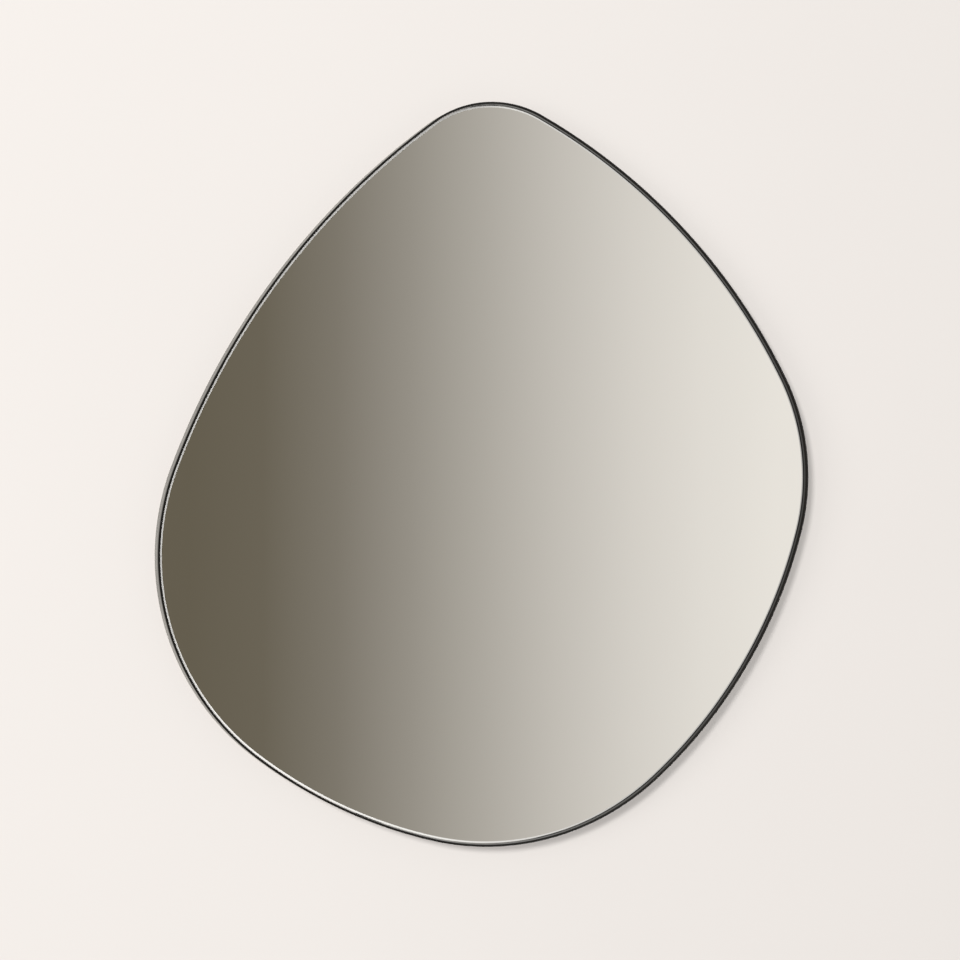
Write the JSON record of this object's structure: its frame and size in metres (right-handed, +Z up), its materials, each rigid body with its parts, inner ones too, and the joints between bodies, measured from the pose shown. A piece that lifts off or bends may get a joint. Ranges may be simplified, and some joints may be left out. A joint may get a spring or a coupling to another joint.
{
  "type": "irregular wall mirror",
  "caption": "Pebble-shaped wall mirror in a thin gloss black metal rim, glass set back inside it, hung by hinged rings on its back.",
  "frame": {"origin": "on the wall, behind the middle of the rim's outline", "axes": "+Z up, mirror faces -Y, +Y into the wall, +X to the right as seen from the front"},
  "size_m": [0.6298, 0.024, 0.6998],
  "materials": {
    "black_coat": "gloss",
    "mirror": "polished",
    "film": "satin",
    "tape": "matte",
    "board": "matte",
    "lug_steel": "satin",
    "zinc_screw": "satin",
    "nickel": "polished",
    "rubber": "matte"
  },
  "bodies": {
    "mirror": {"frame_rim": "black_coat", "mirror_glass": "mirror", "safety_film": "film", "backing_board": "board", "tape_strip_1": "tape", "tape_strip_2": "tape", "tape_strip_3": "tape", "tape_strip_4": "tape", "tape_strip_5": "tape", "lug_right": "lug_steel", "lug_upper_right": "lug_steel", "lug_crown": "lug_steel", "lug_upper_left": "lug_steel", "lug_left": "lug_steel", "lug_lower_left": "lug_steel", "lug_base": "lug_steel", "lug_lower_right": "lug_steel", "lug_screws": "zinc_screw", "hanger_screws": "zinc_screw", "bumper_screws": "zinc_screw", "hanger_strap_left": "nickel", "hanger_strap_right": "nickel", "wall_bumper_upper_right": "rubber", "wall_bumper_upper_left": "rubber", "wall_bumper_lower_left": "rubber", "wall_bumper_lower_right": "rubber"},
    "ring_left": {"hanger_ring_left": "nickel"},
    "ring_right": {"hanger_ring_right": "nickel"}
  },
  "joints": [
    {"name": "ring_left_swing", "type": "hinge", "parent": "mirror", "child": "ring_left", "pos_m": [-0.11, -0.0042, 0.189], "axis": [-1, 0, 0], "range_deg": [0, 183]},
    {"name": "ring_right_swing", "type": "hinge", "parent": "mirror", "child": "ring_right", "pos_m": [0.11, -0.0042, 0.189], "axis": [-1, 0, 0], "range_deg": [0, 183]}
  ]
}
